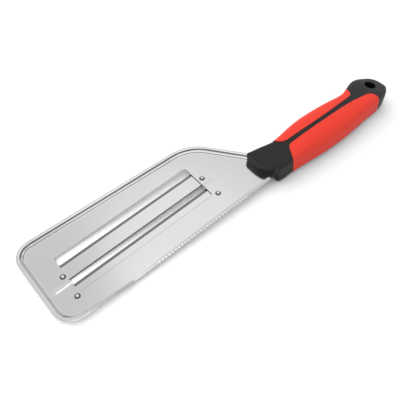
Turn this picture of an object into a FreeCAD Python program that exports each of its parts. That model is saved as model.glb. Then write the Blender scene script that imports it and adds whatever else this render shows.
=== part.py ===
import FreeCAD, Part
import math
import os
from FreeCAD import Vector

# Hand slicer for cabbage: a pressed steel plate with one long window, two ground blades riveted under it,
# and a two-shot moulded handle. Millimetres and degrees.
# The plate is drawn flat: x from the tip towards the handle, y from the serrated near edge towards the rim,
# z up from the sheet's underside. It is then laid as it lies on a table, with its tip down.
# The handle is drawn in place, lying level on the table at z = 0.

# Plate: sheet and outline, measured to the outer edge of the lip
SHEET = 0.9
TIP_X = 1.4
TIP_WIDTH = 76.9
FAR_TAPER = 2.7
SHOULDER_X = 161.8
SHOULDER_ANGLE = 53.4
NEAR_DRIFT = 5.6
FAR_TIP_RADIUS = 9.0
NEAR_TIP_RADIUS = 11.0
SHOULDER_RADIUS = 30.0
LYING_TILT = 2.4

# Plate: pressed rim, a short sloping wall whose top is rolled over past level
RIM_ANGLE = 62.0
RIM_FOOT_RADIUS = 1.6
RIM_WALL = 1.0
RIM_TOP_RADIUS = 2.2
RIM_ROLL = 20.0
RIM_LIP = 0.2

# Plate: window, and the ridges pressed up in the lands at its two ends, each with its heights at the
# free end and near the window
WINDOW_X = (23.6, 145.2)
WINDOW_Y = (18.3, 52.7)
WINDOW_RADIUS = 2.5
BEAD_RADIUS = 9.0
BEAD_REACH_TIP = 13.0
BEAD_REACH_HANDLE = 8.5
BEAD_PAST_END = 2.0
BEAD_HEIGHTS_TIP = (0.32, 0.12)
BEAD_HEIGHTS_HANDLE = (0.08, 0.2)

# Plate: near edge ground from above, with hollows ground across the bevel
BEVEL_START = 58.0
BEVEL_WIDTH = 2.4
BEVEL_RUN_OUT = 3.0
EDGE_LEFT = 0.2
SCALLOPS = 29
SCALLOP_FIRST_X = 79.0
SCALLOP_PITCH = 2.99
SCALLOP_RADIUS = 1.9
SCALLOP_LENGTH = 2.3
SCALLOP_EDGE_LEFT = 0.08

# Plate: tang inside the handle
TANG_Y = (4.0, 17.0)
TANG_ROOT_X = 200.0
TANG_END_X = 298.0
TANG_CORNER = 4.0
TANG_ROOT_RADIUS = 1.0

# Blades
BLADE_SHEET = 0.8
BLADE_WIDTH = 14.3
BLADE_X = (14.5, 155.0)
BLADE_CORNER = 1.5
BLADE_BEVEL = 2.0
BLADE_EDGE = 0.1
FRONT_BLADE_REAR = 31.6
BLADE_GAP = 4.6

# Rivets
RIVET_X = {"tip": 21.1, "handle": 149.0}
RIVET_FROM_REAR = 4.2
RIVET_SHANK_R = 1.2
RIVET_HEAD_R = 2.3
RIVET_HEAD_H = 1.25
RIVET_TAIL_R = 1.9
RIVET_TAIL_H = 0.5
RIVET_TAIL_CHAMFER = 0.3

# Handle: stations along its length as (x, near side, far side, top, squareness of the top half)
HANDLE_STATIONS = [
    (176.0, -2.5, 28.2, 18.4, 8.0),
    (186.0, -2.6, 27.0, 18.7, 8.0),
    (196.0, -2.9, 24.7, 19.3, 8.0),
    (206.0, -3.6, 22.0, 20.6, 6.4),
    (213.0, -4.0, 21.3, 21.8, 4.8),
    (222.0, -5.0, 22.7, 22.8, 3.6),
    (236.0, -6.4, 25.0, 23.4, 2.8),
    (250.0, -7.3, 25.7, 23.5, 2.7),
    (264.0, -7.5, 25.1, 23.4, 2.7),
    (280.0, -6.9, 23.3, 23.1, 2.9),
    (295.0, -5.7, 21.3, 22.7, 3.6),
    (304.0, -4.9, 23.6, 22.4, 4.6),
    (312.0, -4.4, 25.8, 22.0, 5.4),
]
FLOOR_SQUARENESS = 4.2

# Handle: points of a section in a quarter turn, from its side to its top, and their share of the way round
SECTION_TURNS = (0.0, 22.0, 38.0, 52.0, 68.0)
SECTION_SPANS = (0.28, 0.09, 0.08, 0.12, 0.43)

# Handle: rounded end of the bulb beyond the last station
END_LENGTH = 22.8
END_DRIFT = 4.0
END_TURNS = (22.0, 42.0, 60.0, 75.0, 85.0)
END_SQUARENESS = 2.2
END_ROUNDNESS = 0.2
END_FALL = 3.0

# Handle: front of the bolster in plan, at the height of its top; below that the face leans back and inwards
BOLSTER_TOP = 18.6
BOLSTER_FRONT = [(186.6, 60.0), (186.6, 6.6), (193.8, -0.6), (193.8, -60.0)]
BOLSTER_FRONT_RADII = (21.0, 2.0)
BOLSTER_LEAN_BACK = 8.0
BOLSTER_LEAN_IN = 24.0
BOLSTER_ROUND = 0.9
BEYOND_END = 360.0

# Handle: hole to hang it by
HANG_HOLE_X = 320.5
HANG_HOLE_Y = 11.4
HANG_HOLE_R = 4.8
HANG_HOLE_ROUND = 0.3

# Grips: soft panels moulded round a straight bar of the core, standing a little proud of it
GRIP_PROUD = 0.3
GRIP_BAR_Y = (-1.2, 18.4)
GRIP_BAR_Z = (3.2, 19.4)
GRIP_BAR_CORNER = 5.0
GRIP_TOP = 22.0
GRIP_LEAN_BACK = 10.0
NEAR_GRIP = [(200.8, -16.0), (215.0, 8.5), (286.0, 8.0), (313.8, 4.4), (312.8, -16.0)]
NEAR_GRIP_RADII = (6.0, 150.0, 8.0)
FAR_GRIP = [(204.8, 36.0), (213.0, 13.0), (256.0, 11.7), (296.5, 13.0), (308.0, 36.0)]
FAR_GRIP_RADII = (9.0, 500.0, 5.0)

# Cutters reach well past the part, from below the table to above the handle
CUT_LOW = -10.0
CUT_HIGH = 40.0
UP = Vector(0, 0, 1)


def heading(angle):
    """Unit vector in the plane of the sheet at an angle from x."""
    return Vector(math.cos(math.radians(angle)), math.sin(math.radians(angle)), 0)


def meet(line_a, line_b):
    """Crossing point of two lines, each given as a point and a direction."""
    (p, d), (q, e) = line_a, line_b
    cross = d.x * e.y - d.y * e.x
    along = ((q.x - p.x) * e.y - (q.y - p.y) * e.x) / cross
    return p + d * along


def rounded_path(points, radii):
    """Edges along a run of points, with a tangent arc of the given radius at each inner point."""
    edges = []
    here = points[0]
    for before, corner, after, radius in zip(points, points[1:], points[2:], radii):
        back = (before - corner).normalize()
        on = (after - corner).normalize()
        half = back.getAngle(on) / 2
        tangent = radius / math.tan(half)
        centre = corner + (back + on).normalize() * (radius / math.sin(half))
        start = corner + back * tangent
        end = corner + on * tangent
        middle = centre + (corner - centre).normalize() * radius
        edges.append(Part.LineSegment(here, start).toShape())
        edges.append(Part.Arc(start, middle, end).toShape())
        here = end
    edges.append(Part.LineSegment(here, points[-1]).toShape())
    return edges


def prism(points, low, high):
    """Straight-sided block on a plan outline of (x, y) points."""
    corners = [Vector(x, y, low) for x, y in points]
    return Part.Face(Part.makePolygon(corners + corners[:1])).extrude(UP * (high - low))


def rim_section(origin, outward):
    """Closed section of the bent sheet, from the flat to the round end of the lip, and its outward run."""
    moves = [(0.0, RIM_ANGLE, RIM_FOOT_RADIUS), (RIM_WALL, -RIM_ANGLE - RIM_ROLL, RIM_TOP_RADIUS)]
    place = lambda run, rise: origin + outward * run + UP * rise
    half = SHEET / 2
    run, rise, turn = 0.0, half, 0.0
    lower, upper = [], []

    def side(offset):
        angle = math.radians(turn)
        return run - offset * math.sin(angle), rise + offset * math.cos(angle)

    def straight(length):
        nonlocal run, rise
        starts = side(-half), side(half)
        run += length * math.cos(math.radians(turn))
        rise += length * math.sin(math.radians(turn))
        for edges, start, end in zip((lower, upper), starts, (side(-half), side(half))):
            edges.append(Part.LineSegment(place(*start), place(*end)).toShape())

    def bend(angle, radius):
        nonlocal run, rise, turn
        way = math.copysign(1.0, angle)
        hub = side(way * radius)
        marks = []
        for part in (0.0, 0.5, 1.0):
            lean = math.radians(turn + angle * part)
            run = hub[0] + way * radius * math.sin(lean)
            rise = hub[1] - way * radius * math.cos(lean)
            normal = (-math.sin(lean), math.cos(lean))
            marks.append([(run + s * half * normal[0], rise + s * half * normal[1]) for s in (-1, 1)])
        turn += angle
        for edges, index in ((lower, 0), (upper, 1)):
            edges.append(Part.Arc(*[place(*mark[index]) for mark in marks]).toShape())

    first = side(-half), side(half)
    for length, angle, radius in moves:
        if length:
            straight(length)
        bend(angle, radius)
    straight(RIM_LIP)
    nose = run + half * math.cos(math.radians(turn)), rise + half * math.sin(math.radians(turn))
    cap = Part.Arc(place(*side(-half)), place(*nose), place(*side(half))).toShape()
    root = Part.LineSegment(place(*first[0]), place(*first[1])).toShape()
    wire = Part.Wire(Part.__sortEdges__(lower + [cap] + upper + [root]))
    return wire, run + half


def plate_outline():
    """Path of the rim's foot from inside the bolster round to the near edge, and its corner points."""
    width = rim_section(Vector(), heading(0))[1]
    far = heading(180 - FAR_TAPER)
    shoulder = heading(180 - SHOULDER_ANGLE)
    corner = Vector(SHOULDER_X, TIP_WIDTH - SHOULDER_X * math.tan(math.radians(FAR_TAPER)), 0)
    inside = lambda direction: Vector(-direction.y, direction.x, 0) * width
    far_foot = (corner + inside(far), far)
    shoulder_foot = (corner + inside(shoulder), shoulder)
    tip_foot = (Vector(TIP_X + width, 0, 0), Vector(0, 1, 0))
    near_foot = (Vector(TIP_X + width + NEAR_TIP_RADIUS, width, 0), heading(-NEAR_DRIFT))
    start = meet(shoulder_foot, (Vector(0, TANG_Y[1], 0), Vector(1, 0, 0)))
    end = meet(near_foot, (Vector(0, -SHEET, 0), Vector(1, 0, 0)))
    turns = [meet(shoulder_foot, far_foot), meet(far_foot, tip_foot), meet(tip_foot, near_foot)]
    points = [start] + turns + [end]
    radii = (SHOULDER_RADIUS, FAR_TIP_RADIUS, NEAR_TIP_RADIUS)
    return rounded_path(points, radii), points


def bead(free_end, window_end, heights):
    """Rollers for a pressed ridge and the hollow under it, round at the free end and tapering along it."""
    start, end = [Vector(x, FRONT_BLADE_REAR - BLADE_GAP / 2, SHEET + height - BEAD_RADIUS)
                  for x, height in zip((free_end, window_end), heights)]
    along = end - start
    return [Part.makeCylinder(radius, along.Length, start, along).fuse(Part.makeSphere(radius, start))
            for radius in (BEAD_RADIUS, BEAD_RADIUS - SHEET)]


def scallop(x):
    """Grinding wheel's path across the bevel, sloping down to leave a straight thin edge."""
    fall = math.atan2(SHEET - SCALLOP_EDGE_LEFT, SCALLOP_LENGTH)
    along = Vector(0, math.cos(fall), math.sin(fall))
    bottom = Vector(x, 0, SCALLOP_EDGE_LEFT)
    axis = bottom + Vector(0, -math.sin(fall), math.cos(fall)) * SCALLOP_RADIUS
    return Part.makeCylinder(SCALLOP_RADIUS, 3 * SCALLOP_LENGTH, axis - along * SCALLOP_LENGTH, along)


def make_plate():
    path, points = plate_outline()
    start, end = points[0], points[-1]
    outward = Vector((points[1] - start).y, -(points[1] - start).x, 0).normalize()
    sweep = Part.BRepOffsetAPI.MakePipeShell(Part.Wire(path))
    sweep.setBiNormalMode(UP)
    sweep.add(rim_section(start, outward)[0])
    sweep.build()
    sweep.makeSolid()
    rim = sweep.shape()

    back = [end, Vector(TANG_ROOT_X, end.y, 0), Vector(TANG_ROOT_X, TANG_Y[0], 0),
            Vector(TANG_END_X, TANG_Y[0], 0), Vector(TANG_END_X, TANG_Y[1], 0), start]
    corners = (TANG_ROOT_RADIUS, TANG_ROOT_RADIUS, TANG_CORNER, TANG_CORNER)
    edges = path + rounded_path(back, corners)
    flat = Part.Face(Part.Wire(edges)).extrude(UP * SHEET)
    plate = flat.fuse(rim).removeSplitter()

    # Ridges run out into the window, between the blades that lie under the sheet
    beads = [(WINDOW_X[0] - BEAD_REACH_TIP, WINDOW_X[0] + BEAD_PAST_END, BEAD_HEIGHTS_TIP),
             (WINDOW_X[1] + BEAD_REACH_HANDLE, WINDOW_X[1] - BEAD_PAST_END, BEAD_HEIGHTS_HANDLE)]
    upper = Part.makeBox(TANG_END_X, TIP_WIDTH, 2 * SHEET, Vector(0, 0, SHEET / 2))
    for reach in beads:
        ridge, hollow = bead(*reach)
        plate = plate.fuse(ridge.common(upper)).cut(hollow)

    window = Part.makeBox(WINDOW_X[1] - WINDOW_X[0], WINDOW_Y[1] - WINDOW_Y[0], 6 * SHEET,
                          Vector(WINDOW_X[0], WINDOW_Y[0], -3 * SHEET))
    upright = [edge for edge in window.Edges if abs(edge.tangentAt(edge.FirstParameter).z) > 0.9]
    plate = plate.cut(window.makeFillet(WINDOW_RADIUS, upright))

    # The near edge is trimmed straight, ground from above and hollow-ground in its handle half
    plate = plate.cut(prism([(0, -TIP_WIDTH), (TANG_END_X, -TIP_WIDTH), (TANG_END_X, 0), (0, 0)],
                            CUT_LOW, CUT_HIGH))
    slope = (SHEET - EDGE_LEFT) / BEVEL_WIDTH
    run_out = BEVEL_START - BEVEL_RUN_OUT
    wedge = [Vector(run_out, -BEVEL_WIDTH, EDGE_LEFT - slope * BEVEL_WIDTH),
             Vector(BEVEL_START, BEVEL_WIDTH, SHEET),
             Vector(BEVEL_START, BEVEL_WIDTH, CUT_HIGH),
             Vector(run_out, -BEVEL_WIDTH, CUT_HIGH)]
    plate = plate.cut(Part.Face(Part.makePolygon(wedge + wedge[:1])).extrude(Vector(TANG_ROOT_X, 0, 0)))
    hollows = [scallop(SCALLOP_FIRST_X + i * SCALLOP_PITCH) for i in range(SCALLOPS)]
    plate = plate.cut(Part.makeCompound(hollows))

    holes = [Part.makeCylinder(RIVET_SHANK_R, 4 * SHEET, Vector(x, y, -2 * SHEET))
             for x, y in rivet_places().values()]
    return plate.cut(Part.makeCompound(holes)).Solids[0]


def blade_rears():
    """Rear edge of each blade across the plate."""
    return {"front": FRONT_BLADE_REAR, "rear": FRONT_BLADE_REAR - BLADE_GAP - BLADE_WIDTH}


def rivet_places():
    return {f"rivet_{blade}_{end}": (x, rear + RIVET_FROM_REAR)
            for blade, rear in blade_rears().items() for end, x in RIVET_X.items()}


def make_blade(rear):
    """Strip hung under the sheet, ground from above towards the rim down to a thin edge."""
    cut = rear + BLADE_WIDTH
    low, high = BLADE_X
    section = [(rear, -BLADE_SHEET), (rear, 0), (cut - BLADE_BEVEL, 0), (cut, BLADE_EDGE - BLADE_SHEET),
               (cut, -BLADE_SHEET)]
    corners = [Vector(low, y, z) for y, z in section]
    strip = Part.Face(Part.makePolygon(corners + corners[:1])).extrude(Vector(high - low, 0, 0))
    plan = [(low, rear + BLADE_CORNER), (low + BLADE_CORNER, rear), (high - BLADE_CORNER, rear),
            (high, rear + BLADE_CORNER), (high, cut - BLADE_CORNER), (high - BLADE_CORNER, cut),
            (low + BLADE_CORNER, cut), (low, cut - BLADE_CORNER)]
    under = -2 * BLADE_SHEET
    strip = strip.common(prism(plan, under, BLADE_SHEET))
    holes = [Part.makeCylinder(RIVET_SHANK_R, 3 * BLADE_SHEET, Vector(x, rear + RIVET_FROM_REAR, under))
             for x in RIVET_X.values()]
    return strip.cut(Part.makeCompound(holes)).Solids[0]


def make_rivet(x, y):
    """Shank with a low domed head above the sheet and a flattened tail under the blade."""
    tail = -BLADE_SHEET - RIVET_TAIL_H
    dome_r = (RIVET_HEAD_R ** 2 + RIVET_HEAD_H ** 2) / (2 * RIVET_HEAD_H)
    half_way = math.asin(RIVET_HEAD_R / dome_r) / 2
    dome_foot = SHEET + RIVET_HEAD_H - dome_r
    dome_side = dome_r * math.sin(half_way), dome_foot + dome_r * math.cos(half_way)
    chamfer = RIVET_TAIL_CHAMFER
    corners = [(0, tail), (RIVET_TAIL_R - chamfer, tail), (RIVET_TAIL_R, tail + chamfer),
               (RIVET_TAIL_R, -BLADE_SHEET), (RIVET_SHANK_R, -BLADE_SHEET), (RIVET_SHANK_R, SHEET),
               (RIVET_HEAD_R, SHEET)]
    points = [Vector(run, 0, rise) for run, rise in corners]
    crown = Vector(0, 0, SHEET + RIVET_HEAD_H)
    profile = [Part.LineSegment(a, b) for a, b in zip(points, points[1:])]
    profile.append(Part.Arc(points[-1], Vector(dome_side[0], 0, dome_side[1]), crown))
    profile.append(Part.LineSegment(crown, points[0]))
    face = Part.Face(Part.Wire([piece.toShape() for piece in profile]))
    rivet = face.revolve(Vector(), UP, 360)
    rivet.translate(Vector(x, y, 0))
    return rivet


def handle_section(x, near, far, low, high, square):
    """Closed moulded section, a squared ellipse: flat towards the table, rounder on top."""
    y_mid, z_mid = (near + far) / 2, (low + high) / 2
    points, marks = [], [0.0]
    for quarter in range(4):
        spans = SECTION_SPANS if quarter % 2 == 0 else SECTION_SPANS[::-1]
        for turn, span in zip(SECTION_TURNS, spans):
            angle = math.radians(90 * quarter + turn)
            across, rise = round(math.cos(angle), 9), round(math.sin(angle), 9)
            power = 2 / (square if rise >= 0 else max(square, FLOOR_SQUARENESS))
            y = y_mid + (far - near) / 2 * math.copysign(abs(across) ** power, across)
            z = z_mid + (high - low) / 2 * math.copysign(abs(rise) ** power, rise)
            points.append(Vector(x, y, z))
            marks.append(marks[-1] + span)
    curve = Part.BSplineCurve()
    curve.interpolate(Points=points, PeriodicFlag=True, Parameters=[mark / marks[-1] for mark in marks])
    return Part.Wire([curve.toShape(0.0, 0.5), curve.toShape(0.5, 1.0)])


def handle_body(grow):
    """The handle's full form, with its skin moved outwards by grow."""
    floor = GRIP_PROUD - grow
    wires = [handle_section(x, near - grow, far + grow, floor, top + grow, square)
             for x, near, far, top, square in HANDLE_STATIONS]
    x, near, far, top, square = HANDLE_STATIONS[-1]
    y_mid = (near + far) / 2
    for turn in END_TURNS:
        narrow = math.cos(math.radians(turn)) ** (2 / END_SQUARENESS)
        reach = math.sin(math.radians(turn)) ** (2 / END_SQUARENESS)
        height = top - END_FALL * reach - GRIP_PROUD
        half_y = ((far - near) / 2 + grow) * narrow
        half_z = height / 2 * narrow ** END_ROUNDNESS + grow * narrow
        y_end, z_mid = y_mid - END_DRIFT * (1 - narrow), GRIP_PROUD + height / 2
        wires.append(handle_section(x + (END_LENGTH + grow) * reach, y_end - half_y, y_end + half_y,
                                    z_mid - half_z, z_mid + half_z, square))
    return Part.makeLoft(wires, True, False)


def grip_bar():
    """Straight bar of the core that the grips are moulded round, with its long corners taken off."""
    (near, far), (low, high), cut = GRIP_BAR_Y, GRIP_BAR_Z, GRIP_BAR_CORNER
    section = [(near, low + cut), (near + cut, low), (far - cut, low), (far, low + cut),
               (far, high - cut), (far - cut, high), (near + cut, high), (near, high - cut)]
    start = HANDLE_STATIONS[0][0]
    corners = [Vector(start, y, z) for y, z in section]
    return Part.Face(Part.makePolygon(corners + corners[:1])).extrude(Vector(BEYOND_END - start, 0, 0))


def make_grip(outline, radii, skin, bar):
    """Panel between the bar and the proud skin, inside an outline drawn on top and leaning back below."""
    lean = Vector(-math.tan(math.radians(GRIP_LEAN_BACK)), 0, 1)
    points = [Vector(x, y, GRIP_TOP) + lean * (CUT_LOW - GRIP_TOP) for x, y in outline]
    edges = rounded_path(points, radii)
    edges.append(Part.LineSegment(points[-1], points[0]).toShape())
    block = Part.Face(Part.Wire(edges)).extrude(lean * (CUT_HIGH - CUT_LOW))
    return block.common(skin).cut(bar).Solids[0]


def bolster_trim():
    """Block that keeps everything behind the bolster's leaning front face."""
    lean = Vector(-math.tan(math.radians(BOLSTER_LEAN_BACK)), -math.tan(math.radians(BOLSTER_LEAN_IN)), 1)
    points = [Vector(x, y, BOLSTER_TOP) + lean * (CUT_LOW - BOLSTER_TOP) for x, y in BOLSTER_FRONT]
    behind = [points[-1], Vector(BEYOND_END, points[-1].y, CUT_LOW),
              Vector(BEYOND_END, points[0].y, CUT_LOW), points[0]]
    edges = rounded_path(points, BOLSTER_FRONT_RADII)
    edges += [Part.LineSegment(a, b).toShape() for a, b in zip(behind, behind[1:])]
    return Part.Face(Part.Wire(edges)).extrude(lean * (CUT_HIGH - CUT_LOW))


def make_core(plate, grips):
    body = handle_body(0.0).common(bolster_trim())
    drop = BOLSTER_TOP * math.tan(math.radians(BOLSTER_LEAN_BACK))
    front_end = BOLSTER_FRONT[-1][0] + drop + BOLSTER_ROUND
    front = [edge for edge in body.Edges if edge.BoundBox.XMax < front_end]
    body = body.makeFillet(BOLSTER_ROUND, front)
    hole = Part.makeCylinder(HANG_HOLE_R, CUT_HIGH - CUT_LOW, Vector(HANG_HOLE_X, HANG_HOLE_Y, CUT_LOW))
    body = body.cut(hole)
    reach = HANG_HOLE_R + HANG_HOLE_ROUND
    mouth = [edge for edge in body.Edges if edge.BoundBox.ZLength < HANG_HOLE_R
             and edge.BoundBox.XMin > HANG_HOLE_X - reach and edge.BoundBox.XMax < HANG_HOLE_X + reach]
    body = body.makeFillet(HANG_HOLE_ROUND, mouth)
    for grip in grips:
        body = body.cut(grip)
    return body.cut(plate).Solids[0]


def build():
    nodes = {"slicer_plate": make_plate()}
    for blade, rear in blade_rears().items():
        nodes[f"{blade}_blade"] = make_blade(rear)
    for name, place in rivet_places().items():
        nodes[name] = make_rivet(*place)

    # Lay the plate with its tip down, on the rivet tails
    for shape in nodes.values():
        shape.rotate(Vector(), Vector(0, 1, 0), -LYING_TILT)
    lowest = min(shape.optimalBoundingBox().ZMin for shape in nodes.values())
    for shape in nodes.values():
        shape.translate(Vector(0, 0, -lowest))

    skin, bar = handle_body(GRIP_PROUD), grip_bar()
    nodes["near_grip"] = make_grip(NEAR_GRIP, NEAR_GRIP_RADII, skin, bar)
    nodes["far_grip"] = make_grip(FAR_GRIP, FAR_GRIP_RADII, skin, bar)
    nodes["handle_core"] = make_core(nodes["slicer_plate"], [nodes["near_grip"], nodes["far_grip"]])

    # Origin at the middle of the footprint, on the table
    box = Part.makeCompound(list(nodes.values())).optimalBoundingBox()
    shift = Vector(-box.Center.x, -box.Center.y, -box.ZMin)
    for shape in nodes.values():
        shape.translate(shift)
    print("size", round(box.XLength, 2), round(box.YLength, 2), round(box.ZLength, 2))
    print("shift from the tip's frame", [round(v, 3) for v in shift])
    return nodes


os.makedirs("parts", exist_ok=True)
for name, shape in build().items():
    print(name, shape.ShapeType, shape.isValid(), round(shape.Volume, 1), len(shape.Faces))
    shape.exportStep(f"parts/{name}.step")
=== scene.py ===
import math
import bpy
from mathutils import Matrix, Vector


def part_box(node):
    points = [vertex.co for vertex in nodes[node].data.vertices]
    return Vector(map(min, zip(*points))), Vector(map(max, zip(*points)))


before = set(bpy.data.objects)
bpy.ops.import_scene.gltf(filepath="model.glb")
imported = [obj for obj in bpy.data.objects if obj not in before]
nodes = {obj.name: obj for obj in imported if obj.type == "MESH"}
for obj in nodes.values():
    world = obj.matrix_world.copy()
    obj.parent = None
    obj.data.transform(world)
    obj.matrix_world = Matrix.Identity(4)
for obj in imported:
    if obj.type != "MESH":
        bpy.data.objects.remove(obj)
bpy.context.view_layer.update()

# Slicer plate.
# One blank of stainless sheet, pressed to raise the rim on three sides and punched for the window, then
# polished. Fine polishing lines run along it, the near edge is ground, and punched edges are left dull.
# Punched walls are painted near black as shade, and the bends carry a painted dark reflection.
PLATE_DARK = (0.655, 0.655, 0.660, 1.0)
PLATE_LIGHT = (0.705, 0.705, 0.708, 1.0)
# Painted shade on the punched walls and along the painted shadow lines
PAINTED_SHADE_GREY = (0.045, 0.045, 0.048, 1.0)
# Painted dark reflection in the bends
PAINTED_BEND_REFLECTION = (0.17, 0.17, 0.175, 1.0)
GROUND_BRIGHT = (0.61, 0.61, 0.615, 1.0)
PLATE_GROUND_WIDTH = 0.0024

# Steel throws this plain tone back on the table, in place of sharp glints
STEEL_CAST = (0.95, 0.95, 0.95, 1.0)

# A face's levelness goes from 0 upright to 1 level: punched walls are the steepest, bends lie in between
WALL_LEVELNESS = (0.12, 0.25)
# Faces between these levels are bends, which get the painted dark reflection
BEND_TOP = (0.96, 0.88)
BEND_FOOT = (0.54, 0.68)

# Relief takes the painted shade off the walls that face the near side and part of the painted dark reflection
# off the bends at the tip
NEAR_FACING = (-0.5, -0.8)
TIP_FACING = (0.18, 0.30)
TIP_REFLECTION_RELIEF = 0.6
FULL_SHADE_RELIEF = 1.0

# Distances from the ground edge are in widths of its strip, those from a painted shadow line in metres
STRIP_BORDER = (0.96, 1.04)
BEND_FADES = (1.5, 4.0)
SHADOW_LINE_REACH = (0.00039, 0.00021)

# Polishing lines are drawn out along the sheet, grinding lines across it
CLOUD_SCALE = 22.0
CLOUD_DETAIL = 2.0
LINE_DETAIL = 3.0
POLISH_STRETCH = (0.02, 1.0, 1.0)
POLISH_SCALE = 2600.0
GRIND_STRETCH = (1.0, 0.04, 0.04)
GRIND_SCALE = 3200.0
GROUND_DULLNESS = 0.02
PUNCHED_DULLNESS = 0.4
LINE_STRENGTH = 0.25
LINE_DEPTH = 0.0000006


def fill(tree, socket, value):
    """Sets a socket to a number or a colour, or links another socket to it."""
    if isinstance(value, bpy.types.NodeSocket):
        tree.links.new(value, socket)
    else:
        socket.default_value = value


def work_out(tree, operation, *values):
    """One sum on numbers or sockets."""
    node = tree.nodes.new("ShaderNodeMath")
    node.operation = operation
    for socket, value in zip(node.inputs, values):
        fill(tree, socket, value)
    return node.outputs["Value"]


def blend(tree, kind, below, above, mask):
    """Goes from one number or colour to the other as the mask rises from 0 to 1."""
    node = tree.nodes.new("ShaderNodeMix")
    node.data_type = kind
    sockets = [socket for socket in node.inputs if socket.enabled]
    for socket, value in zip(sockets, (mask, below, above)):
        fill(tree, socket, value)
    return next(socket for socket in node.outputs if socket.enabled)


def soft_step(tree, value, start, end):
    """0 before the start and 1 after the end, whichever way they lie."""
    node = tree.nodes.new("ShaderNodeMapRange")
    node.interpolation_type = "SMOOTHSTEP"
    node.inputs["From Min"].default_value = start
    node.inputs["From Max"].default_value = end
    tree.links.new(value, node.inputs["Value"])
    return node.outputs["Result"]


def split(tree, vector):
    """The three parts of a place or a direction."""
    node = tree.nodes.new("ShaderNodeSeparateXYZ")
    tree.links.new(vector, node.inputs["Vector"])
    return node.outputs


def mottle(tree, place, scale, detail):
    """Random light and dark over the piece."""
    node = tree.nodes.new("ShaderNodeTexNoise")
    node.inputs["Detail"].default_value = detail
    fill(tree, node.inputs["Scale"], scale)
    tree.links.new(place, node.inputs["Vector"])
    return node.outputs["Fac"]


def lines(tree, place, stretch, scale):
    """Fine streaks, drawn out along the axis that the stretch makes small."""
    drawn = tree.nodes.new("ShaderNodeVectorMath")
    drawn.operation = "MULTIPLY"
    drawn.inputs[1].default_value = stretch
    tree.links.new(place, drawn.inputs[0])
    return mottle(tree, drawn.outputs["Vector"], scale, LINE_DETAIL)


def open_group(name, colours, numbers, results):
    """Shader group with its sockets; gives the group and the ends that its nodes join."""
    group = bpy.data.node_groups.new(name, "ShaderNodeTree")
    for key in colours:
        group.interface.new_socket(key, in_out="INPUT", socket_type="NodeSocketColor")
    for key, usual in numbers.items():
        socket = group.interface.new_socket(key, in_out="INPUT", socket_type="NodeSocketFloat")
        socket.default_value = usual
    for key, kind in results.items():
        group.interface.new_socket(key, in_out="OUTPUT", socket_type=kind)
    given = group.nodes.new("NodeGroupInput").outputs
    put_out = group.nodes.new("NodeGroupOutput").inputs
    place = group.nodes.new("ShaderNodeTexCoord").outputs
    return group, given, put_out, place


def steel_finish_and_shade():
    """Polished sheet with a ground strip along one edge, a painted dark reflection in its bends, dull punched
    edges painted dark as shade, and a painted shadow line.
    """
    colours = ("Dark", "Light", "Punched", "Ground", "Bend")
    numbers = {"Dullness": 0.09, "Spread": 0.06, "Edge": 0.0, "Strip": 0.001, "Seam": -1.0, "Depth": 0.0,
               "Relief": 0.0}
    results = {"Color": "NodeSocketColor", "Roughness": "NodeSocketFloat", "Height": "NodeSocketFloat"}
    group, given, put_out, place = open_group("sheet_finish_and_shade", colours, numbers, results)
    clouds = mottle(group, place["Object"], CLOUD_SCALE, CLOUD_DETAIL)
    polished = lines(group, place["Object"], POLISH_STRETCH, POLISH_SCALE)
    ground = lines(group, place["Object"], GRIND_STRETCH, GRIND_SCALE)

    spot = split(group, place["Object"])
    inward = work_out(group, "SUBTRACT", spot["Y"], given["Edge"])
    from_edge = work_out(group, "DIVIDE", inward, given["Strip"])
    in_strip = work_out(group, "SUBTRACT", 1.0, soft_step(group, from_edge, *STRIP_BORDER))
    # A thin painted shadow line along the given place, in the painted shade colour
    off_shadow_line = work_out(group, "ABSOLUTE", work_out(group, "SUBTRACT", spot["Y"], given["Seam"]))
    shadow_line = work_out(group, "MULTIPLY", soft_step(group, off_shadow_line, *SHADOW_LINE_REACH), given["Depth"])

    facing = split(group, place["Normal"])
    levelness = work_out(group, "ABSOLUTE", facing["Z"])
    # Punched walls are painted dark as shade, except where they face the near side
    near_wall = work_out(group, "MULTIPLY", soft_step(group, facing["Y"], *NEAR_FACING), given["Relief"])
    punched = work_out(group, "SUBTRACT", 1.0, soft_step(group, levelness, *WALL_LEVELNESS))
    punched = work_out(group, "MULTIPLY", punched, work_out(group, "SUBTRACT", 1.0, near_wall))
    along = work_out(group, "ABSOLUTE", facing["X"])
    across = work_out(group, "ABSOLUTE", facing["Y"])
    lengthwise = work_out(group, "SUBTRACT", along, across)
    at_tip = work_out(group, "MULTIPLY", soft_step(group, lengthwise, *TIP_FACING), given["Relief"])
    # Bends get a painted dark reflection, less of it at the tip and none close to the ground edge
    below_top = soft_step(group, levelness, *BEND_TOP)
    bend_reflection_mask = work_out(group, "MULTIPLY", below_top, soft_step(group, levelness, *BEND_FOOT))
    bend_reflection_mask = work_out(group, "MULTIPLY", bend_reflection_mask, soft_step(group, from_edge, *BEND_FADES))
    bend_reflection_mask = work_out(group, "MULTIPLY", bend_reflection_mask, work_out(group, "MULTIPLY_ADD", at_tip, -TIP_REFLECTION_RELIEF, 1.0))

    # Over the random tone go the painted dark reflection in the bends, the ground strip's tone (on the blades
    # a painted dark reflection), and painted shade on punched walls and on the shadow line
    tone = blend(group, "RGBA", given["Dark"], given["Light"], clouds)
    for key, mask in (("Bend", bend_reflection_mask), ("Ground", in_strip), ("Punched", punched), ("Punched", shadow_line)):
        tone = blend(group, "RGBA", tone, given[key], mask)
    streak = blend(group, "FLOAT", polished, ground, in_strip)
    rough = work_out(group, "MULTIPLY_ADD", streak, given["Spread"], given["Dullness"])
    rough = work_out(group, "MULTIPLY_ADD", in_strip, GROUND_DULLNESS, rough)
    rough = work_out(group, "MULTIPLY_ADD", punched, PUNCHED_DULLNESS, rough)
    for key, value in (("Color", tone), ("Roughness", rough), ("Height", streak)):
        group.links.new(value, put_out[key])
    return group


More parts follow.
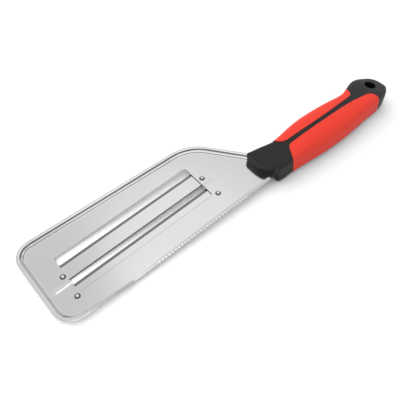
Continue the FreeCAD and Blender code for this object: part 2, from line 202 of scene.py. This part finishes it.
def dressed(name, group, values, grain_strength, grain_depth):
    """Material with a finish's shader group in it: its roughness, and its grain as a fine bump."""
    material = bpy.data.materials.new(name)
    material.use_nodes = True
    tree = material.node_tree
    shader = tree.nodes["Principled BSDF"]
    finish = tree.nodes.new("ShaderNodeGroup")
    finish.node_tree = group
    for key, value in values.items():
        finish.inputs[key].default_value = value
    bump = tree.nodes.new("ShaderNodeBump")
    bump.inputs["Strength"].default_value = grain_strength
    bump.inputs["Distance"].default_value = grain_depth
    tree.links.new(finish.outputs["Roughness"], shader.inputs["Roughness"])
    tree.links.new(finish.outputs["Height"], bump.inputs["Height"])
    tree.links.new(bump.outputs["Normal"], shader.inputs["Normal"])
    return material, shader, finish.outputs


def cast_on_table(tree, shader, colour, cast_colour):
    """Sets the base colour, and the quieter colour that the piece throws back on what lies round it."""
    bounced = tree.nodes.new("ShaderNodeLightPath").outputs["Is Diffuse Ray"]
    tree.links.new(blend(tree, "RGBA", colour, cast_colour, bounced), shader.inputs["Base Color"])
    return bounced


def steel(name, **values):
    """Polished steel, which turns plain where it lights the table."""
    material, shader, finish = dressed(name, sheet_finish_and_shade, values, LINE_STRENGTH, LINE_DEPTH)
    tree = material.node_tree
    bounced = cast_on_table(tree, shader, finish["Color"], STEEL_CAST)
    tree.links.new(work_out(tree, "SUBTRACT", 1.0, bounced), shader.inputs["Metallic"])
    return material


def finish_node(node, material):
    """Gives a CAD node its finish."""
    nodes[node].data.materials.clear()
    nodes[node].data.materials.append(material)


sheet_finish_and_shade = steel_finish_and_shade()
near_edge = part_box("slicer_plate")[0][1]
plate_steel = steel("plate_steel", Dark=PLATE_DARK, Light=PLATE_LIGHT, Punched=PAINTED_SHADE_GREY, Bend=PAINTED_BEND_REFLECTION,
                    Ground=GROUND_BRIGHT, Edge=near_edge, Strip=PLATE_GROUND_WIDTH, Relief=FULL_SHADE_RELIEF)
finish_node("slicer_plate", plate_steel)

# Blades.
# Two strips of hardened steel under the window, riveted at their ends and ground from above to a thin edge
# towards the rim. Their faces are polished a little brighter than the plate, and the ground strips are
# painted dark as a reflection.
BLADE_DARK = (0.665, 0.665, 0.670, 1.0)
BLADE_LIGHT = (0.710, 0.710, 0.713, 1.0)
# Painted dark reflection on the blades' ground strips
BLADE_PAINTED_BEVEL_REFLECTION = (0.20, 0.20, 0.205, 1.0)
BLADE_GROUND_WIDTH = 0.0026
BLADE_DULLNESS = 0.08

# A painted shadow line runs along the front blade's back edge, and a faint one where the rear blade goes
# under the sheet
BACK_EDGE_SHADOW_INSET = 0.0002
BACK_EDGE_SHADOW_DEPTH = 0.9
SHEET_SHADOW_PLACE = -0.0151
SHEET_SHADOW_DEPTH = 0.28
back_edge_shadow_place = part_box("front_blade")[0][1] + BACK_EDGE_SHADOW_INSET
shadow_lines = {"front_blade": (back_edge_shadow_place, BACK_EDGE_SHADOW_DEPTH), "rear_blade": (SHEET_SHADOW_PLACE, SHEET_SHADOW_DEPTH)}
for blade, (shadow_place, shadow_depth) in shadow_lines.items():
    cutting_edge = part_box(blade)[1][1]
    blade_steel = steel(f"{blade}_steel", Dark=BLADE_DARK, Light=BLADE_LIGHT, Punched=PAINTED_SHADE_GREY,
                        Bend=BLADE_DARK, Ground=BLADE_PAINTED_BEVEL_REFLECTION, Dullness=BLADE_DULLNESS, Edge=cutting_edge,
                        Strip=-BLADE_GROUND_WIDTH, Seam=shadow_place, Depth=shadow_depth)
    finish_node(blade, blade_steel)

# Rivets.
# Four steel rivets set through the sheet and the blades' ends, with turned domed heads that show on top.
# The heads' flanks are painted dark as a reflection and their crowns are bright, and nothing on them is
# ground.
RIVET_DARK = (0.66, 0.66, 0.66, 1.0)
RIVET_LIGHT = (0.74, 0.74, 0.74, 1.0)
# Painted dark reflection on the heads' flanks
RIVET_PAINTED_FLANK_REFLECTION = (0.10, 0.10, 0.103, 1.0)
NO_STRIP = -1.0
rivet_steel = steel("rivet_steel", Dark=RIVET_DARK, Light=RIVET_LIGHT, Punched=PAINTED_SHADE_GREY, Bend=RIVET_PAINTED_FLANK_REFLECTION,
                    Ground=GROUND_BRIGHT, Edge=NO_STRIP)
for blade in ("front", "rear"):
    for end in ("tip", "handle"):
        finish_node(f"rivet_{blade}_{end}", rivet_steel)

# Handle core.
# Black plastic moulded round the plate's tang: the bolster, the spine between the grips and the bulb
# with the hang hole. Its skin comes off a fine spark-eroded mould, so it is satin.
CORE_DARK = (0.0080, 0.0080, 0.0083, 1.0)
CORE_LIGHT = (0.0105, 0.0105, 0.0108, 1.0)
CORE_SHEEN = 0.29
CORE_PEBBLE = 0.00003
SKIN_CLOUD_SCALE = 35.0
PEBBLE_DETAIL = 2.0
PEBBLE_STRENGTH = 0.35


def mould_finish():
    """Fine pebbled skin of a spark-eroded mould, with slow clouds in its shine."""
    numbers = {"Grain": 2200.0, "Dullness": 0.42, "Spread": 0.12}
    results = dict.fromkeys(("Roughness", "Height", "Tone"), "NodeSocketFloat")
    group, given, put_out, place = open_group("mould_skin", (), numbers, results)
    pebbles = mottle(group, place["Object"], given["Grain"], PEBBLE_DETAIL)
    clouds = mottle(group, place["Object"], SKIN_CLOUD_SCALE, CLOUD_DETAIL)
    rough = work_out(group, "MULTIPLY_ADD", clouds, given["Spread"], given["Dullness"])
    for key, value in (("Roughness", rough), ("Height", pebbles), ("Tone", clouds)):
        group.links.new(value, put_out[key])
    return group


def moulded(name, dark, light, cast_colour, sheen, pebble, **values):
    """Moulded plastic or rubber, its colour drifting a little over the piece."""
    material, shader, finish = dressed(name, mould_skin, values, PEBBLE_STRENGTH, pebble)
    tree = material.node_tree
    shader.inputs["Specular IOR Level"].default_value = sheen
    cast_on_table(tree, shader, blend(tree, "RGBA", dark, light, finish["Tone"]), cast_colour)
    return material


mould_skin = mould_finish()
core_plastic = moulded("core_plastic", CORE_DARK, CORE_LIGHT, CORE_DARK, CORE_SHEEN, CORE_PEBBLE)
finish_node("handle_core", core_plastic)

# Grips.
# Two panels of soft red rubber moulded into the core's flanks in a second shot, standing a little proud.
# The rubber is duller than the core, and its cast is nearly grey so that the table stays white.
GRIP_DARK = (0.85, 0.050, 0.029, 1.0)
GRIP_LIGHT = (0.90, 0.058, 0.035, 1.0)
GRIP_CAST = (0.20, 0.16, 0.16, 1.0)
GRIP_SHEEN = 0.2
GRIP_PEBBLE = 0.00002
GRIP_DULLNESS = 0.5
grip_rubber = moulded("grip_rubber", GRIP_DARK, GRIP_LIGHT, GRIP_CAST, GRIP_SHEEN, GRIP_PEBBLE,
                      Dullness=GRIP_DULLNESS)
for grip in ("near_grip", "far_grip"):
    finish_node(grip, grip_rubber)

# Table.
# A plain white table top. It is drawn white to the camera, keeps the shadow round the slicer, and runs out
# into a white backdrop. From below it is clear, so that the underside can be seen.
TABLE_SIZE = 6.0
TABLE_PAINT = (0.84, 0.84, 0.84, 1.0)
TABLE_SHOWN = (1.14, 1.14, 1.14, 1.0)
TABLE_MIRRORED = (0.95, 0.95, 0.95, 1.0)
SHADOW_REACH = 0.45
BACKDROP_START = 0.90


def mix_shaders(tree, mask, below, above):
    """One shader over another, as the mask rises from 0 to 1."""
    node = tree.nodes.new("ShaderNodeMixShader")
    for socket, value in zip(node.inputs, (mask, below, above)):
        tree.links.new(value, socket)
    return node.outputs["Shader"]


bpy.ops.mesh.primitive_plane_add(size=TABLE_SIZE)
table = bpy.context.object
table.name = "table_top"
table_white = bpy.data.materials.new("table_white")
table_white.use_nodes = True
tree = table_white.node_tree
tree.nodes.clear()
seen = tree.nodes.new("ShaderNodeLightPath").outputs
mirrored = work_out(tree, "ADD", seen["Is Glossy Ray"], seen["Is Transmission Ray"])
white = blend(tree, "RGBA", TABLE_PAINT, TABLE_MIRRORED, mirrored)
white = blend(tree, "RGBA", white, TABLE_SHOWN, seen["Is Camera Ray"])
paint = tree.nodes.new("ShaderNodeBsdfDiffuse")
tree.links.new(white, paint.inputs["Color"])
glow = tree.nodes.new("ShaderNodeEmission")
clear = tree.nodes.new("ShaderNodeBsdfTransparent")
reach = tree.nodes.new("ShaderNodeVectorMath")
reach.operation = "LENGTH"
tree.links.new(tree.nodes.new("ShaderNodeTexCoord").outputs["Object"], reach.inputs[0])
far_off = soft_step(tree, reach.outputs["Value"], SHADOW_REACH, BACKDROP_START)
shown_far = work_out(tree, "MULTIPLY", far_off, seen["Is Camera Ray"])
top = mix_shaders(tree, shown_far, paint.outputs["BSDF"], glow.outputs["Emission"])
underside = tree.nodes.new("ShaderNodeNewGeometry").outputs["Backfacing"]
surface = mix_shaders(tree, underside, top, clear.outputs["BSDF"])
tree.links.new(surface, tree.nodes.new("ShaderNodeOutputMaterial").inputs["Surface"])
table.data.materials.append(table_white)

# Key lamp.
# A large soft lamp high on the far side. It gives the shadow along the near edge, and polished steel doesn't
# mirror it.
KEY_PLACE = (-0.17, 0.38, 0.93)
KEY_SIZE = 1.4
KEY_WATTS = 7.4
key_lamp = bpy.data.lights.new("key_lamp", "AREA")
key_lamp.energy = KEY_WATTS
key_lamp.size = KEY_SIZE
key = bpy.data.objects.new("key_lamp", key_lamp)
bpy.context.scene.collection.objects.link(key)
key.location = KEY_PLACE
key.rotation_euler = (-key.location).to_track_quat("-Z", "Y").to_euler()
key.visible_glossy = False

# Studio room.
# A pale tent all round. The camera sees it white, it fills the shadows at one plain level, and polished steel
# mirrors its soft patches, a bright strip overhead and a brighter horizon.
CAMERA_WHITE = 1.0
FILL_LEVEL = 0.62
TENT_LEVEL = 0.93
HORIZON_LEVEL = 1.25
HORIZON_BOTTOM = math.radians(7.0)
HORIZON_TOP = math.radians(13.0)

# Round patches of the tent: heading from +X, height, half-width and soft edge in degrees, then level
PATCHES = [
    (99.0, 61.0, 4.0, 9.0, 0.82),
    (60.0, 62.0, 5.0, 6.0, 1.12),
    (58.0, 74.0, 8.0, 3.0, 1.6),
    (-108.0, 55.0, 10.0, 5.0, 0.06),
]

# The strip overhead, in metres at one metre above the table, and the heights over which it starts to show
STRIP_LIMITS = {"X": (-0.50, 0.16), "Y": (-0.37, -0.17)}
STRIP_SOFT_EDGE = 0.04
STRIP_LEVEL = 2.5
STRIP_RISE = (0.0, 0.1)


def tent_patch(tree, looking, heading, height, half_width, soft_edge):
    """1 inside a round patch of the tent, fading to 0 over its soft edge."""
    turn = math.radians(heading)
    rise = math.radians(height)
    facing = tree.nodes.new("ShaderNodeVectorMath")
    facing.operation = "DOT_PRODUCT"
    facing.inputs[1].default_value = (math.cos(rise) * math.cos(turn), math.cos(rise) * math.sin(turn),
                                      math.sin(rise))
    tree.links.new(looking, facing.inputs[0])
    outside = math.cos(math.radians(half_width + soft_edge))
    inside = math.cos(math.radians(half_width))
    return soft_step(tree, facing.outputs["Value"], outside, inside)


world = bpy.data.worlds.new("studio_room")
bpy.context.scene.world = world
world.use_nodes = True
room = world.node_tree
backdrop = room.nodes["Background"]
backdrop.inputs["Color"].default_value = (1.0, 1.0, 1.0, 1.0)
looking = room.nodes.new("ShaderNodeTexCoord").outputs["Generated"]
path = room.nodes.new("ShaderNodeLightPath").outputs
way = split(room, looking)
tent = TENT_LEVEL
for *patch, patch_level in PATCHES:
    tent = blend(room, "FLOAT", tent, patch_level, tent_patch(room, looking, *patch))
on_strip = soft_step(room, way["Z"], *STRIP_RISE)
for axis, (low, high) in STRIP_LIMITS.items():
    overhead = work_out(room, "DIVIDE", way[axis], way["Z"])
    for limit, soft_edge in ((low, -STRIP_SOFT_EDGE), (high, STRIP_SOFT_EDGE)):
        on_strip = work_out(room, "MULTIPLY", on_strip, soft_step(room, overhead, limit + soft_edge, limit))
tent = blend(room, "FLOAT", tent, STRIP_LEVEL, on_strip)
above_horizon = soft_step(room, way["Z"], math.sin(HORIZON_BOTTOM), math.sin(HORIZON_TOP))
tent = blend(room, "FLOAT", HORIZON_LEVEL, tent, above_horizon)
reflected = work_out(room, "ADD", path["Is Glossy Ray"], path["Is Transmission Ray"])
level = blend(room, "FLOAT", FILL_LEVEL, tent, reflected)
level = blend(room, "FLOAT", level, CAMERA_WHITE, path["Is Camera Ray"])
room.links.new(level, backdrop.inputs["Strength"])

# Camera.
# It stands at the photograph's place, over the tip's near side and looking down along the tool.
# Its lens is worked out from the focal length in picture points.
CAMERA_PLACE = (-0.17951, -0.18363, 0.32050)
CAMERA_PITCH = math.radians(54.35)
CAMERA_YAW = math.radians(40.51)
FOCAL_PIXELS = 506.5
PICTURE_PIXELS = 400.0
SENSOR_WIDTH = 36.0
NEAREST_SEEN = 0.01
lens = bpy.data.cameras.new("camera")
lens.sensor_width = SENSOR_WIDTH
lens.lens = FOCAL_PIXELS / PICTURE_PIXELS * SENSOR_WIDTH
lens.clip_start = NEAREST_SEEN
camera = bpy.data.objects.new("camera", lens)
bpy.context.scene.collection.objects.link(camera)
camera.location = CAMERA_PLACE
camera.rotation_euler = (math.pi / 2 - CAMERA_PITCH, 0.0, -CAMERA_YAW)
bpy.context.scene.camera = camera
bpy.context.scene.view_settings.view_transform = "Standard"
